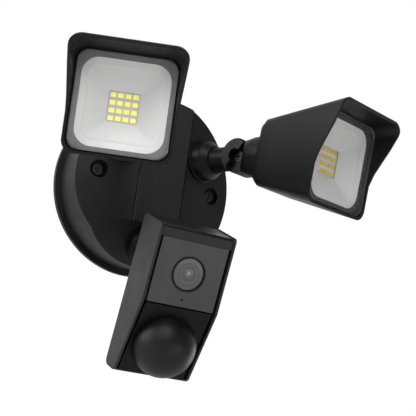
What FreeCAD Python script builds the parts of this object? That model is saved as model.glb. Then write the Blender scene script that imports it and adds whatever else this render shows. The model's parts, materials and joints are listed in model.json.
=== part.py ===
"""Floodlight security camera: a wall canopy with two swivelling flood lamps and a camera head.

Units are millimetres. The frame is +Z up, +X right, and +Y into the wall. The origin is the
centre of the wall bracket's rear face, on the wall.
"""
import FreeCAD, Part
import Sketcher
import math
import os
import re

from FreeCAD import Placement, Rotation, Vector

SIZES = {
    # canopy on the wall
    "base_radius": 70.0,
    "housing_radius": 65.4,
    "gasket_thick": 2.2,
    "gasket_inner": 59.0,
    "plate_depth": 6.4,
    "housing_rear": 7.0,
    "housing_depth": 53.3,
    "shell_wall": 2.5,
    "wing_angle": 18.4,
    "facet_angle": 38.0,
    "facet_depth": 51.6,
    "band_half": 18.8,
    "band_depth": 53.7,
    "band_bottom": 34.5,
    "band_gap": 0.9,
    "band_recess": 1.2,
    # fixing to the wall
    "bracket_thick": 2.0,
    "bracket_width": 22.0,
    "bracket_reach": 54.0,
    "slot_spacing": 78.5,
    "slot_length": 16.0,
    "slot_radius": 2.5,
    "screw_offset": 48.2,
    "screw_height": 1.0,
    "screw_well": 7.0,
    "screw_floor": 36.4,
    "screw_radius": 1.9,
    "screw_head": 4.2,
    "cable_radius": 4.5,
    # arms
    "arm_angle": 23.0,
    "anchor_across": 34.81,
    "anchor_height": 26.0,
    "camera_anchor_height": -48.0,
    "pivot_reach": 40.0,
    "camera_reach": 33.6,
    "socket_radius": 17.0,
    "socket_height": 14.0,
    "socket_top": 10.7,
    "shaft_radius": 7.0,
    "running_gap": 0.06,
    "seal_thick": 0.3,
    "neck_radius": 9.7,
    "lug_radius": 13.4,
    "lug_width": 10.4,
    "lug_gap": 0.2,
    "lug_clearance": 0.8,
    "lug_step": 5.2,
    "hinge_radius": 2.5,
    "hinge_head": 4.6,
    "sink_depth": 2.4,
    "locknut_radius": 10.5,
    "locknut_thick": 4.0,
    # how the lamps stand at rest
    "left_nod": 8.1,
    "right_nod": 6.5,
    "left_twist": 0.5,
    "right_twist": 1.9,
    "lamp_offset": 2.0,
    # flood lamps: measured from the front face of the glass
    "lamp_back": 61.0,
    "lamp_rear_half": 24.4,
    "lamp_tip": 19.6,
    "lamp_tip_half": 39.3,
    "lamp_wall": 2.0,
    "lamp_corner": 8.5,
    "lamp_pivot": 94.34,
    "hood_low": -7.0,
    "hood_lip": 2.6,
    "glass_half": 32.9,
    "glass_thick": 1.6,
    "bezel_inner": 32.2,
    "bezel_thick": 1.0,
    "reflector_half": 29.4,
    "reflector_corner": 10.0,
    "reflector_wall": 1.2,
    "reflector_depth": 11.4,
    "throat_half": 10.7,
    "led_pitch_across": 5.03,
    "led_pitch_up": 5.24,
    "led_across": 4.24,
    "led_up": 3.48,
    "led_thick": 0.8,
    "board_thick": 1.6,
    "board_half": 15.0,
    "fin_count": 7,
    "fin_pitch": 6.0,
    "fin_thick": 1.6,
    "fin_depth": 20.0,
    "collar_radius": 18.5,
    "collar_reach": 13.0,
    # camera head: measured from the top edge of its front panel
    "head_pitch": 16.7,
    "head_forward": 131.98,
    "head_drop": 57.31,
    "head_half": 29.8,
    "cover_thick": 2.2,
    "cover_proud": 1.2,
    "panel_half": 26.9,
    "panel_height": 46.4,
    "bend_gap": 1.2,
    "panel_thick": 2.0,
    "chin_drop": 100.4,
    "chin_back": 18.1,
    "head_back": 35.4,
    "head_top": 9.6,
    "head_bottom": 102.4,
    "lens_drop": 22.8,
    "lens_ring": 12.6,
    "lens_glass": 11.6,
    "lens_barrel": 8.2,
    "dome_drop": 77.0,
    "dome_radius": 23.4,
    "dome_wall": 1.8,
    "button_radius": 2.6,
    "button_depth": 27.0,
}

document = FreeCAD.newDocument("FloodlightCamera")
sheet = document.addObject("Spreadsheet::Sheet", "Sizes")
for row, (alias, size) in enumerate(SIZES.items(), start=1):
    sheet.set(f"A{row}", alias.replace("_", " "))
    sheet.set(f"B{row}", str(size))
    sheet.setAlias(f"B{row}", alias)
document.recompute()

NODES = []


def size(alias):
    """The sheet's value of one driving dimension."""
    return float(sheet.get(alias))


def bound(text):
    """An expression in which each alias is read from the sheet."""
    def from_sheet(match):
        return f"Sizes.{match.group(0)}" if match.group(0) in SIZES else match.group(0)
    return re.sub(r"[a-z][a-z_]*", from_sheet, text)


def worked_out(text):
    """The number that an expression of aliases gives."""
    return float(sheet.evalExpression(bound(text)))


def tilted(x, y, z, yaw=0.0, pitch=0.0):
    """A placement turned by yaw about Z, after a nod of pitch about X."""
    turn = Rotation(Vector(0, 0, 1), yaw).multiply(Rotation(Vector(1, 0, 0), pitch))
    return Placement(Vector(x, y, z), turn)


def finish(label, item, where=None):
    """Names a finished sub-part and puts it in its place."""
    item.Label = label
    if where is not None:
        item.Placement = where
    NODES.append(item)
    return item


# ---- building blocks -------------------------------------------------------------------------

def new_body(name):
    return document.addObject("PartDesign::Body", name)


def outline(body, plane, points, offset="0"):
    """A closed sketch outline on an origin plane, each corner bound to the sheet."""
    sketch = body.newObject("Sketcher::SketchObject", f"{body.Name}_outline")
    origin = next(f for f in body.Origin.OriginFeatures if f.Role == plane)
    sketch.AttachmentSupport = [(origin, "")]
    sketch.MapMode = "FlatFace"
    sketch.setExpression("AttachmentOffset.Base.z", bound(offset))
    corners = [Vector(worked_out(a), worked_out(b), 0) for a, b in points]
    for index, corner in enumerate(corners):
        following = corners[(index + 1) % len(corners)]
        sketch.addGeometry(Part.LineSegment(corner, following), False)
    for index in range(len(corners)):
        sketch.addConstraint(Sketcher.Constraint("Coincident", index, 2, (index + 1) % len(corners), 1))
    for index, (across, up) in enumerate(points):
        for kind, expression in (("DistanceX", across), ("DistanceY", up)):
            number = worked_out(expression)
            which = sketch.addConstraint(Sketcher.Constraint(kind, -1, 1, index, 1, number))
            sketch.setExpression(f"Constraints[{which}]", bound(expression))
    return sketch


def ring_sketch(body, plane, radius, centre=("0", "0"), offset="0"):
    """A circle on an origin plane."""
    sketch = body.newObject("Sketcher::SketchObject", f"{body.Name}_circle")
    origin = next(f for f in body.Origin.OriginFeatures if f.Role == plane)
    sketch.AttachmentSupport = [(origin, "")]
    sketch.MapMode = "FlatFace"
    sketch.setExpression("AttachmentOffset.Base.z", bound(offset))
    middle = Vector(worked_out(centre[0]), worked_out(centre[1]), 0)
    sketch.addGeometry(Part.Circle(middle, Vector(0, 0, 1), worked_out(radius)), False)
    for kind, expression in (("DistanceX", centre[0]), ("DistanceY", centre[1])):
        which = sketch.addConstraint(Sketcher.Constraint(kind, -1, 1, 0, 3, worked_out(expression)))
        sketch.setExpression(f"Constraints[{which}]", bound(expression))
    which = sketch.addConstraint(Sketcher.Constraint("Radius", 0, worked_out(radius)))
    sketch.setExpression(f"Constraints[{which}]", bound(radius))
    return sketch


def pad(body, sketch, length, middle=False, back=False):
    feature = body.newObject("PartDesign::Pad", f"{body.Name}_pad")
    feature.Profile = sketch
    feature.setExpression("Length", bound(length))
    feature.Midplane = middle
    feature.Reversed = back
    document.recompute()
    return feature


def pocket(body, sketch, length, middle=False, back=False):
    """Cuts a pocket, and makes sure that it has cut."""
    before = body.Shape.Volume
    feature = body.newObject("PartDesign::Pocket", f"{body.Name}_pocket")
    feature.Profile = sketch
    feature.setExpression("Length", bound(length))
    feature.Midplane = middle
    feature.Reversed = back
    document.recompute()
    if body.Shape.Volume > before - 1e-3:
        raise RuntimeError(f"{feature.Name} cuts nothing")
    return feature


def revolved(name, points):
    """A body turned about its Y axis from (radius, y) corners."""
    body = new_body(name)
    sketch = outline(body, "XY_Plane", points)
    feature = body.newObject("PartDesign::Revolution", f"{name}_turned")
    feature.Profile = sketch
    feature.ReferenceAxis = (sketch, ["V_Axis"])
    feature.Angle = 360.0
    document.recompute()
    return body


def rounded(body, radius, chosen):
    """Fillets those edges of a body's tip that the test picks."""
    tip = body.Tip
    names = [f"Edge{n}" for n, edge in enumerate(tip.Shape.Edges, start=1) if chosen(edge)]
    feature = body.newObject("PartDesign::Fillet", f"{body.Name}_fillet")
    feature.Base = (tip, names)
    feature.Radius = radius
    document.recompute()
    return feature


def middle_of(edge):
    """The point half way along an edge."""
    return edge.valueAt((edge.FirstParameter + edge.LastParameter) / 2)


def box(name, across, deep, up):
    """A box from three (low, high) pairs of expressions."""
    item = document.addObject("Part::Box", name)
    for side, (low, high) in (("Length", across), ("Width", deep), ("Height", up)):
        item.setExpression(side, bound(f"({high}) - ({low})"))
    for axis, (low, high) in (("x", across), ("y", deep), ("z", up)):
        item.setExpression(f"Placement.Base.{axis}", bound(low))
    return item


def cylinder(name, axis, radius, span, at=("0", "0")):
    """A cylinder along X, Y or Z from the span's low end to its high end."""
    item = document.addObject("Part::Cylinder", name)
    item.setExpression("Radius", bound(radius))
    item.setExpression("Height", bound(f"({span[1]}) - ({span[0]})"))
    turns = {"x": Rotation(Vector(0, 1, 0), 90), "y": Rotation(Vector(1, 0, 0), -90), "z": Rotation()}
    item.Placement = Placement(Vector(), turns[axis])
    others = [letter for letter in "xyz" if letter != axis]
    item.setExpression(f"Placement.Base.{axis}", bound(span[0]))
    item.setExpression(f"Placement.Base.{others[0]}", bound(at[0]))
    item.setExpression(f"Placement.Base.{others[1]}", bound(at[1]))
    return item


def joined(name, items):
    item = document.addObject("Part::MultiFuse", name)
    item.Shapes = items
    return item


def common(name, first, second):
    item = document.addObject("Part::Common", name)
    item.Base = first
    item.Tool = second
    return item


def cut(name, base, tools):
    """The base less its tools, which may be one or many."""
    item = document.addObject("Part::Cut", name)
    item.Base = base
    item.Tool = tools[0] if len(tools) == 1 else joined(f"{name}_tools", tools)
    return item


def group(name, items):
    """Separate solids that make one node."""
    item = document.addObject("Part::Compound", name)
    item.Links = items
    return item


def square(half):
    """The corners of a square of the given half width."""
    return [(f"-({half})", f"-({half})"), (half, f"-({half})"), (half, half), (f"-({half})", half)]


def runs_along_y(edge):
    return abs(edge.Vertexes[0].Y - edge.Vertexes[-1].Y) > 0.1


def square_horn(name, near, near_half, far, far_half, corner):
    """A four-sided taper along Y with rounded corners, from its rear to its front."""
    body = new_body(name)
    loft = body.newObject("PartDesign::AdditiveLoft", f"{name}_loft")
    sections = [outline(body, "XZ_Plane", square(half), f"-({depth})")
                for depth, half in ((near, near_half), (far, far_half))]
    loft.Profile = sections[0]
    loft.Sections = [sections[1]]
    loft.Ruled = True
    body.Tip = loft
    document.recompute()
    rounded(body, corner, runs_along_y)
    return body


def square_slab(name, rear, front, half, corner):
    """A square plate with rounded corners, from its rear face to its front face."""
    body = new_body(name)
    pad(body, outline(body, "XZ_Plane", square(half), f"-({rear})"), f"({rear}) - ({front})")
    rounded(body, corner, runs_along_y)
    return body


# ---- canopy ----------------------------------------------------------------------------------

def canopy_form(name, inset):
    """The canopy's solid form: a short cylinder with two wings and a lower facet cut away."""
    body = new_body(name)
    pad(body, ring_sketch(body, "XZ_Plane", f"housing_radius - {inset}", offset="housing_rear"),
        f"housing_depth - {inset} - housing_rear")
    apex = f"-(housing_depth - {inset} / cos(wing_angle) + band_half * tan(wing_angle))"
    for side in ("", "-"):
        reach = f"{side}(2 * housing_radius)"
        fall = f"{apex} + 2 * housing_radius * tan(wing_angle)"
        wing = outline(body, "XY_Plane", [("0", apex), (reach, fall), (reach, apex)])
        pocket(body, wing, "4 * housing_radius", middle=True)
    start = f"-facet_depth + {inset} / cos(facet_angle) - {inset} * tan(facet_angle)"
    top = f"-band_bottom + {inset}"
    facet = outline(body, "YZ_Plane", [
        (start, top),
        (f"{start} + 2 * housing_radius * tan(facet_angle)", f"{top} - 2 * housing_radius"),
        ("-4 * housing_radius", f"{top} - 2 * housing_radius"),
        ("-4 * housing_radius", top)])
    pocket(body, facet, "4 * housing_radius", middle=True)
    return body


def canopy_screws_at(name, radius, span):
    """A pair of cylinders, one round each canopy screw."""
    return [cylinder(f"{name}_{n}", "y", radius, span, (f"{side}screw_offset", "screw_height"))
            for n, side in enumerate(("", "-"))]


def base_housing():
    """The canopy's cover, with the band's track, the screw wells and the arms' wire holes."""
    outer = canopy_form("canopy_outer", "0")
    radius = size("housing_radius")

    def is_fold(edge):
        """An edge where the lower facet meets a wing."""
        middle = middle_of(edge)
        from_axis = math.hypot(middle.x, middle.z)
        return abs(middle.x) > size("band_half") + 0.7 and middle.z < -36 and from_axis < radius - 4

    def is_rim(edge):
        """An edge where a sloping face meets the round side."""
        middle = middle_of(edge)
        slopes = abs(edge.Vertexes[0].Y - edge.Vertexes[-1].Y) > 1
        at_side = math.hypot(middle.x, middle.z) > radius - 0.7
        return at_side and slopes and middle.y < -15 and edge.Length > 12

    rounded(outer, 5.0, is_fold)
    rounded(outer, 0.8, is_rim)
    inner = canopy_form("canopy_inner", "shell_wall")
    mouth = cylinder("canopy_mouth", "y", "housing_radius - shell_wall", ("-housing_rear - 1", "0"))
    shell = cut("canopy_shell", outer, [joined("canopy_cavity", [inner, mouth])])
    cups = canopy_screws_at("screw_cup", "screw_well + 2", ("-housing_depth", "-screw_floor + 3"))
    pillars = canopy_screws_at("screw_pillar", "screw_radius + 2.6", ("-screw_floor", "-housing_rear"))
    inside = common("canopy_cups", joined("canopy_wells", cups + pillars), outer)
    track = box("band_track", ("-band_half - band_gap", "band_half + band_gap"),
                ("-housing_depth - 5", "-housing_depth + band_recess"),
                ("-band_bottom - 0.2", "base_radius"))
    holes = canopy_screws_at("screw_bore", "screw_well", ("-housing_depth - 5", "-screw_floor"))
    holes += canopy_screws_at("screw_hole", "screw_radius + 0.3", ("-housing_depth", "0"))
    holes += [wire_hole(arm) for arm in ARMS]
    whole = joined("canopy_whole", [shell, inside])
    return finish("base_housing", cut("base_housing", whole, [track] + holes))


def centre_panel():
    """The band that runs down the middle of the canopy's front."""
    strap = box("band_strap", ("-band_half", "band_half"),
                ("-band_depth", "-housing_depth + band_recess - 0.05"), ("-band_bottom", "base_radius"))
    disc = cylinder("band_disc", "y", "housing_radius + 0.4", ("-band_depth - 2", "0"))
    whole = common("band_form", strap, disc)
    edges = document.addObject("Part::Fillet", "centre_panel")
    edges.Base = whole
    document.recompute()
    front = -size("band_depth")
    edges.Edges = [(n, 0.3, 0.3) for n, edge in enumerate(whole.Shape.Edges, start=1)
                   if abs(middle_of(edge).y - front) < 0.01]
    return finish("centre_panel", edges)


def wall_parts():
    """The gasket against the wall and the back plate with its collar."""
    gasket = cylinder("gasket_disc", "y", "base_radius - 0.8", ("-gasket_thick", "0"))
    finish("wall_gasket", cut("wall_gasket", gasket, [
        cylinder("gasket_hole", "y", "gasket_inner", ("-gasket_thick - 1", "1"))]))
    plate = cylinder("plate_disc", "y", "base_radius", ("-plate_depth", "-gasket_thick"))
    spigot = cylinder("plate_spigot", "y", "housing_radius - shell_wall - 0.3",
                      ("-housing_rear - 3", "-plate_depth"))
    hollow = cylinder("plate_hollow", "y", "housing_radius - shell_wall - 2.5",
                      ("-housing_rear - 4", "-plate_depth"))
    collar = cut("plate_collar", spigot, [hollow])
    holes = canopy_screws_at("plate_screw", "screw_radius + 0.3", ("-housing_rear - 5", "0"))
    holes.append(cylinder("plate_cable", "y", "cable_radius + 3.5", ("-housing_rear", "0")))
    finish("back_plate", cut("back_plate", joined("plate_whole", [plate, collar]), holes))


def slot(name, height):
    """A slot along Z through the bracket, centred at the given height."""
    half = "(slot_length / 2 - slot_radius)"
    span = ("-bracket_thick - 1", "1")
    ends = [cylinder(f"{name}_end_{n}", "y", "slot_radius", span, ("0", f"{height} {sign} {half}"))
            for n, sign in enumerate("+-")]
    middle = box(f"{name}_middle", ("-slot_radius", "slot_radius"), span,
                 (f"{height} - {half}", f"{height} + {half}"))
    return joined(name, ends + [middle])


def wall_bracket():
    half = "bracket_width / 2"
    span = ("-bracket_thick", "0")
    level = box("bracket_level", ("-bracket_reach", "bracket_reach"), span, (f"-{half}", half))
    upright = box("bracket_upright", (f"-{half}", half), span, ("-bracket_reach", "bracket_reach"))
    holes = [slot("bracket_slot_top", "slot_spacing / 2"), slot("bracket_slot_low", "-slot_spacing / 2")]
    holes += canopy_screws_at("bracket_tap", "screw_radius", ("-bracket_thick - 1", "1"))
    holes.append(cylinder("bracket_cable", "y", "cable_radius + 3.5", ("-bracket_thick - 1", "1")))
    return finish("wall_bracket", cut("wall_bracket", joined("bracket_cross", [level, upright]), holes))


def base_screws():
    screws = []
    shafts = canopy_screws_at("base_shaft", "screw_radius", ("-screw_floor", "0"))
    heads = canopy_screws_at("base_head", "screw_head", ("-screw_floor - 2.6", "-screw_floor"))
    for n, side in enumerate(("", "-")):
        at = f"{side}screw_offset"
        span = ("-screw_floor - 3", "-screw_floor - 1.1")
        bars = [box(f"cross_level_{n}", (f"{at} - 2.4", f"{at} + 2.4"), span,
                    ("screw_height - 0.45", "screw_height + 0.45")),
                box(f"cross_upright_{n}", (f"{at} - 0.45", f"{at} + 0.45"), span,
                    ("screw_height - 2.4", "screw_height + 2.4"))]
        screws.append(cut(f"base_screw_{n}", joined(f"base_blank_{n}", [shafts[n], heads[n]]), bars))
    return finish("base_screws", group("base_screws", screws))


def driver():
    """The lamps' power supply, inside the canopy."""
    board = ("-14 - board_thick", "-14")
    finish("driver_board", cut("driver_board", box("driver_blank", ("-36", "36"), board, ("-30", "30")), [
        cylinder("driver_cable_way", "y", "cable_radius + 3.5", ("-20", "0"))]))
    core = box("transformer_core", ("-10", "10"), ("-32", "-17"), ("-27", "-11"))
    winding = cylinder("transformer_winding", "x", "6.5", ("-12.5", "12.5"), ("-24.5", "-19"))
    feet = box("transformer_feet", ("-8", "8"), ("-17", "-14 - board_thick"), ("-26", "-12"))
    finish("driver_transformer", joined("driver_transformer", [core, winding, feet]))
    cans = [cylinder(f"capacitor_{n}", "y", "5", ("-32", "-14 - board_thick"), (f"{x}", "-20"))
            for n, x in enumerate((-29, 29))]
    cans.append(cylinder("capacitor_2", "y", "4", ("-30", "-14 - board_thick"), ("-30", "0")))
    finish("driver_capacitors", group("driver_capacitors", cans))
    block = box("terminal_form", ("14", "34"), ("-25", "-14 - board_thick"), ("-6", "6"))
    ways = [cylinder(f"terminal_way_{n}", "z", "1.8", ("-7", "3"), (f"{x}", "-20.5"))
            for n, x in enumerate((18, 24, 30))]
    finish("terminal_block", cut("terminal_block", block, ways))


def cable_grommet():
    """The rubber bush that the supply cable enters through."""
    inner = "cable_radius"
    outer = "cable_radius + 3.4"
    flange = "cable_radius + 6"
    front = "-plate_depth - 2"
    profile = [(inner, "0"), (outer, "0"), (outer, "-plate_depth"), (flange, "-plate_depth"),
               (flange, front), (inner, front)]
    return finish("cable_grommet", revolved("cable_grommet", profile))


# ---- arms ------------------------------------------------------------------------------------

def anchor_depth(across):
    """How far a wing stands from the wall at a distance from the middle."""
    return size("housing_depth") - (across - size("band_half")) * math.tan(math.radians(size("wing_angle")))


def facet_anchor():
    """The middle of the lower facet."""
    drop = -size("camera_anchor_height") - size("band_bottom")
    return size("facet_depth") - drop * math.tan(math.radians(size("facet_angle")))


def side_of(arm):
    """Which way a lamp's arm leans: 1 to the right, -1 to the left."""
    return 1 if arm == "right" else -1


def arm_frame(arm):
    """The arm's own frame: its origin is on the canopy's skin and -Y is along the arm."""
    if arm == "camera":
        return tilted(0, -facet_anchor(), size("camera_anchor_height"), 0, size("facet_angle"))
    across = side_of(arm) * size("anchor_across")
    return tilted(across, -anchor_depth(abs(across)), size("anchor_height"), side_of(arm) * size("arm_angle"))


def skin_frame(arm):
    """The canopy's skin under an arm: its origin is the arm's and -Y is square to the skin."""
    if arm == "camera":
        return arm_frame(arm)
    place = arm_frame(arm).Base
    return tilted(place.x, place.y, place.z, side_of(arm) * size("wing_angle"))


def reach_of(arm):
    """The name of an arm's length from the canopy to its hinge."""
    return "camera_reach" if arm == "camera" else "pivot_reach"


def stub_frame(arm):
    """The arm's frame, twisted as far as the arm is swivelled at rest."""
    twist = 0.0 if arm == "camera" else size(f"{arm}_twist")
    return arm_frame(arm).multiply(Placement(Vector(), Rotation(Vector(0, -1, 0), twist)))


def pivot_of(arm):
    """The middle of an arm's hinge."""
    return arm_frame(arm).multVec(Vector(0, -size(reach_of(arm)), 0))


def lamp_frame(arm):
    """A lamp's own frame: its origin is the middle of the glass's face and -Y is forward."""
    nod = Rotation(Vector(1, 0, 0), size(f"{arm}_nod"))
    turn = stub_frame(arm).Rotation.multiply(nod)
    back = turn.multVec(Vector(side_of(arm) * size("lamp_offset"), size("lamp_pivot"), 0))
    return Placement(pivot_of(arm) - back, turn)


def head_frame():
    """The camera head's own frame, at the top edge of the front panel."""
    return tilted(0, -size("head_forward"), -size("head_drop"), 0, size("head_pitch"))


ARMS = ("left", "right", "camera")


def wire_hole(arm):
    hole = document.addObject("Part::Cylinder", f"{arm}_wire_hole")
    hole.setExpression("Radius", bound("shaft_radius + running_gap"))
    hole.Height = 24
    place = arm_frame(arm)
    turn = Rotation(Vector(1, 0, 0), -90)
    hole.Placement = Placement(place.multVec(Vector(0, -12, 0)), place.Rotation.multiply(turn))
    return hole


def socket(arm):
    """The bell-shaped socket that the arm's stub turns in, fitted to the canopy's skin."""
    bore = "shaft_radius + running_gap"
    body = revolved(f"{arm}_bell", [
        (bore, "2"), ("socket_radius", "2"), ("socket_radius", "-1.5"),
        ("socket_radius - 1.0", "-1.9"), ("socket_radius - 1.6", "-socket_height * 0.58"),
        ("socket_top + 0.3", "-socket_height"), (bore, "-socket_height")])
    shoulder = worked_out("-socket_height * 0.58")
    rounded(body, 5.0, lambda edge: abs(middle_of(edge).y - shoulder) < 0.05)
    height = size("socket_height")

    def is_top_rim(edge):
        """The outer of the two circles at the socket's top."""
        middle = middle_of(edge)
        return abs(middle.y + height) < 0.05 and math.hypot(middle.x, middle.z) > 9

    rounded(body, 0.7, is_top_rim)
    body.Placement = arm_frame(arm)
    skin = document.addObject("Part::Feature", f"{arm}_skin")
    skin.Shape = Part.makeBox(80, 40, 80, Vector(-40, -0.02, -40))
    skin.Placement = skin_frame(arm)
    return finish(f"{arm}_socket", cut(f"{arm}_socket", body, [skin]))


def socket_seals():
    """The thin washers between the sockets and the stubs' shoulders."""
    seals = []
    for arm in ARMS:
        ring = document.addObject("Part::Feature", f"{arm}_seal")
        low = Vector(0, -size("socket_height") - 0.03, 0)
        outside = Part.makeCylinder(size("neck_radius"), size("seal_thick"), low, Vector(0, -1, 0))
        inside = Part.makeCylinder(size("shaft_radius") + 0.4, size("seal_thick"), low, Vector(0, -1, 0))
        ring.Shape = outside.cut(inside)
        ring.Placement = arm_frame(arm)
        seals.append(ring)
    return finish("socket_seals", group("socket_seals", seals))


def near_side(low, high):
    """A span on the hinge's near side, towards -X."""
    return (f"-({high})", f"-({low})")


def arm_stub(arm):
    """The turning stub: a shaft through the canopy's wall, a neck and half of the hinge."""
    reach = reach_of(arm)
    pivot = f"-{reach}"
    at = (pivot, "0")
    rest = "-socket_height - 0.4"
    turned = revolved(f"{arm}_stub_turned", [
        ("3", "9"), ("shaft_radius", "9"), ("shaft_radius", rest), ("neck_radius", rest),
        ("neck_radius", f"-{reach} + lug_radius - 3"), ("neck_radius - 1.2", pivot),
        ("0", pivot), ("0", "-socket_height - 6"), ("3", "-socket_height - 6")])
    lug = cylinder(f"{arm}_stub_lug", "x", "lug_radius", near_side("lug_gap", "lug_width"), at)
    edged = document.addObject("Part::Chamfer", f"{arm}_stub_chamfer")
    edged.Base = lug
    document.recompute()
    edged.Edges = [(n, 1.3, 1.3) for n, edge in enumerate(lug.Shape.Edges, start=1)
                   if edge.Closed and abs(middle_of(edge).x + size("lug_width")) < 0.01]
    relief = cylinder(f"{arm}_stub_relief", "x", "lug_radius + lug_clearance",
                      ("-lug_gap", "lug_width + 6"), at)
    bore = cylinder(f"{arm}_stub_bore", "x", "hinge_radius + running_gap", ("-20", "20"), at)
    sink = cylinder(f"{arm}_stub_sink", "x", "hinge_head + 0.5",
                    near_side("sink_depth", "lug_width + 8"), at)
    step = document.addObject("Part::Feature", f"{arm}_stub_step")
    low = -size("lug_width") - 6
    step.Shape = Part.makeBox(6 + size("lug_width") - size("lug_step"), 40, 40, Vector(low, -40, -20))
    step.Placement = Placement(Vector(0, -size(reach), 0), Rotation(Vector(1, 0, 0), 42))
    whole = joined(f"{arm}_stub_whole", [turned, edged])
    item = cut(f"{arm}_stub", whole, [relief, bore, sink, step])
    return finish(f"{arm}_arm_stub", item, stub_frame(arm))


def locknut(arm):
    """The nut that holds the stub in its socket, against the inside of the canopy."""
    item = document.addObject("Part::Prism", f"{arm}_locknut_hex")
    item.Polygon = 6
    item.setExpression("Circumradius", bound("locknut_radius"))
    item.setExpression("Height", bound("locknut_thick"))
    item.Placement = Placement(Vector(0, size("shell_wall") + 0.9, 0), Rotation(Vector(1, 0, 0), -90))
    hole = cylinder(f"{arm}_locknut_hole", "y", "shaft_radius", ("0", "20"))
    return finish(f"{arm}_locknut", cut(f"{arm}_locknut", item, [hole]), stub_frame(arm))


def pivot_screw(arm):
    """The hinge's cross-head screw."""
    depth = f"-{reach_of(arm)}"
    at = (depth, "0")
    top = "sink_depth + 2.6"
    head = cylinder(f"{arm}_hinge_head", "x", "hinge_head", near_side("sink_depth + 0.05", top), at)
    shaft = cylinder(f"{arm}_hinge_shaft", "x", "hinge_radius", ("-sink_depth - 0.05", "lug_width - 1"), at)
    cross = [box(f"{arm}_hinge_cross_{n}", near_side("sink_depth + 1", "lug_width + 1"),
                 (f"{depth} - {across}", f"{depth} + {across}"), (f"-{up}", up))
             for n, (across, up) in enumerate((("2.6", "0.5"), ("0.5", "2.6")))]
    screw = cut(f"{arm}_hinge_screw", joined(f"{arm}_hinge_blank", [head, shaft]), cross)
    return finish(f"{arm}_pivot_screw", screw, stub_frame(arm))


def knuckle_lug(name, centre, pivot, level="0"):
    """The far half of a hinge, with the room for the stub's half and the screw's hole."""
    at = (pivot, level)
    away = f"({centre}) + lug_width"
    lug = cylinder(f"{name}_lug", "x", "lug_radius", (f"({centre}) + lug_gap", away), at)
    relief = cylinder(f"{name}_relief", "x", "lug_radius + lug_clearance",
                      (f"({centre}) - lug_width - 12", f"({centre}) + lug_gap"), at)
    bore = cylinder(f"{name}_bore", "x", "hinge_radius + running_gap", ("-20", f"{away} + 1"), at)
    return lug, relief, bore


def lamp_knuckle(arm):
    """The trumpet that joins the lamp's back to its half of the hinge."""
    end = "lamp_back"
    horn = revolved(f"{arm}_knuckle_turned", [
        ("0", end), ("collar_radius", end), ("collar_radius", f"{end} + 1.8"),
        ("collar_radius - 1.2", f"{end} + 3.4"), ("collar_radius - 1.6", f"{end} + collar_reach * 0.7"),
        ("collar_radius - 2.4", f"{end} + collar_reach + 3"), ("lug_radius - 1", "lamp_pivot - 5"),
        ("0", "lamp_pivot - 5")])
    centre = "lamp_offset" if arm == "right" else "-lamp_offset"
    lug, relief, bore = knuckle_lug(f"{arm}_knuckle", centre, "lamp_pivot")
    whole = joined(f"{arm}_knuckle_whole", [horn, lug])
    return finish(f"{arm}_knuckle", cut(f"{arm}_knuckle", whole, [relief, bore]), lamp_frame(arm))


# ---- flood lamps -----------------------------------------------------------------------------

# half the width of a lamp's outside, at a depth to be filled in
LAMP_HALF = ("(lamp_rear_half + (lamp_tip_half - lamp_rear_half)"
             " * (lamp_back - ({0})) / (lamp_back + lamp_tip))")


def lamp_housing(arm):
    """The lamp's tapered box, whose top and sides run on into the hood."""
    name = f"{arm}_lamp"
    outer = square_horn(f"{name}_outer", "lamp_back", "lamp_rear_half", "-lamp_tip", "lamp_tip_half",
                        size("lamp_corner"))
    back = size("lamp_back")
    rounded(outer, 4.0, lambda edge: abs(middle_of(edge).y - back) < 0.05)
    inner = square_horn(f"{name}_inner", "lamp_back - 3", "lamp_rear_half - 1.4", "-lamp_tip - 5",
                        f"{LAMP_HALF.format('-lamp_tip - 5')} - lamp_wall", size("lamp_corner") - 1.5)
    mouth = new_body(f"{name}_mouth")
    low = "lamp_tip_half + 5"
    shape = outline(mouth, "YZ_Plane", [
        ("-hood_lip", f"-({low})"), ("-hood_lip", "hood_low"), ("-hood_lip - 3", "hood_low + 5"),
        ("-lamp_tip + 2", "lamp_tip_half - 6"), ("-lamp_tip", low),
        ("-lamp_tip - 20", low), ("-lamp_tip - 20", f"-({low})")])
    pad(mouth, shape, "4 * lamp_tip_half", middle=True)
    wires = cylinder(f"{name}_wire_way", "y", "5", ("lamp_back - 6", "lamp_back + 2"))
    item = cut(f"{name}_housing", outer, [inner, mouth, wires])
    return finish(f"{arm}_lamp_housing", item, lamp_frame(arm))


def lens_frame(arm):
    """The thin bezel round the glass."""
    name = f"{arm}_bezel"
    half = f"{LAMP_HALF.format('0')} - lamp_wall - 0.15"
    outer = square_slab(f"{name}_outer", "-0.1", "-bezel_thick", half, size("lamp_corner") - 1.6)
    inner = square_slab(f"{name}_inner", "1", "-bezel_thick - 1", "bezel_inner", size("lamp_corner") - 2.2)
    return finish(f"{arm}_lens_frame", cut(name, outer, [inner]), lamp_frame(arm))


def lamp_glass(arm):
    pane = square_slab(f"{arm}_pane", "glass_thick", "0", "glass_half", size("lamp_corner") - 2.2)
    return finish(f"{arm}_lamp_glass", pane, lamp_frame(arm))


def glass_gasket(arm):
    """The seal between the glass and the reflector's flange."""
    name = f"{arm}_gasket"
    corner = size("lamp_corner") - 2.4
    outer = square_slab(f"{name}_outer", "glass_thick + 1", "glass_thick", "glass_half - 0.5", corner)
    inner = square_slab(f"{name}_inner", "glass_thick + 2", "glass_thick - 1", "reflector_half + 0.6",
                        size("reflector_corner"))
    return finish(f"{arm}_glass_gasket", cut(name, outer, [inner]), lamp_frame(arm))


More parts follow.
